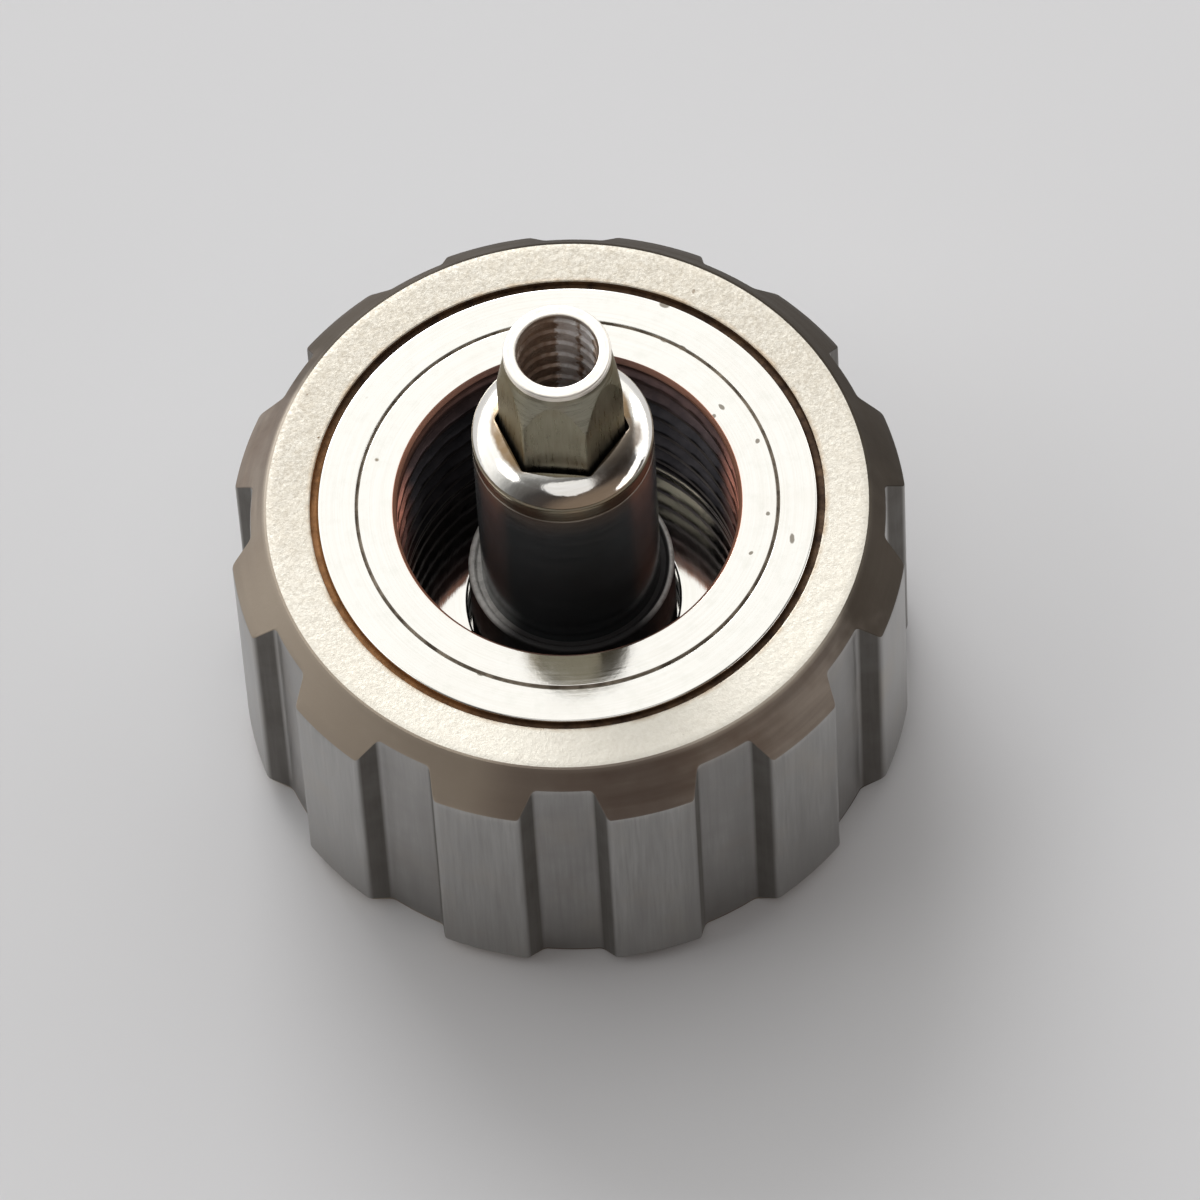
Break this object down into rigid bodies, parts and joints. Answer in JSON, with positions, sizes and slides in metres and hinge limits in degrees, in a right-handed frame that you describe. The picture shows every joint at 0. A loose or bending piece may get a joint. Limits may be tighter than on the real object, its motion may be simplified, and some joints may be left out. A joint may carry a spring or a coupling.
{
  "type": "screw-down watch crown",
  "caption": "Fluted screw-down watch crown with threaded inner bush, seals and a sprung hexagonal stem post with a tapped end.",
  "frame": {"origin": "on the crown's axis, at its flat outer face", "axes": "+Z along the axis from the outer face towards the stem, +X through the middle of one flute land"},
  "size_m": [0.007, 0.007, 0.0067],
  "materials": {
    "cap_steel": "satin, blasted rim",
    "polished_steel": "polished",
    "barrel_steel": "polished",
    "post_steel": "satin",
    "spring_steel": "drawn wire",
    "seal_rubber": "smooth black rubber"
  },
  "bodies": {
    "crown": {"crown_cap": "cap_steel", "core_cup": "polished_steel", "thread_bush": "polished_steel", "flat_gasket": "seal_rubber", "retainer_washer": "polished_steel", "barrel_seal": "seal_rubber", "barrel": "barrel_steel", "hex_guide": "polished_steel", "clutch_spring": "spring_steel"},
    "stem": {"stem_post": "post_steel", "thrust_washer": "post_steel"}
  },
  "joints": [
    {"name": "stem_push", "type": "slide", "parent": "crown", "child": "stem", "axis": [0, 0, -1], "range_m": [0, 0.0014], "stiffness_N_per_m": 380, "deforming": ["clutch_spring"]}
  ]
}
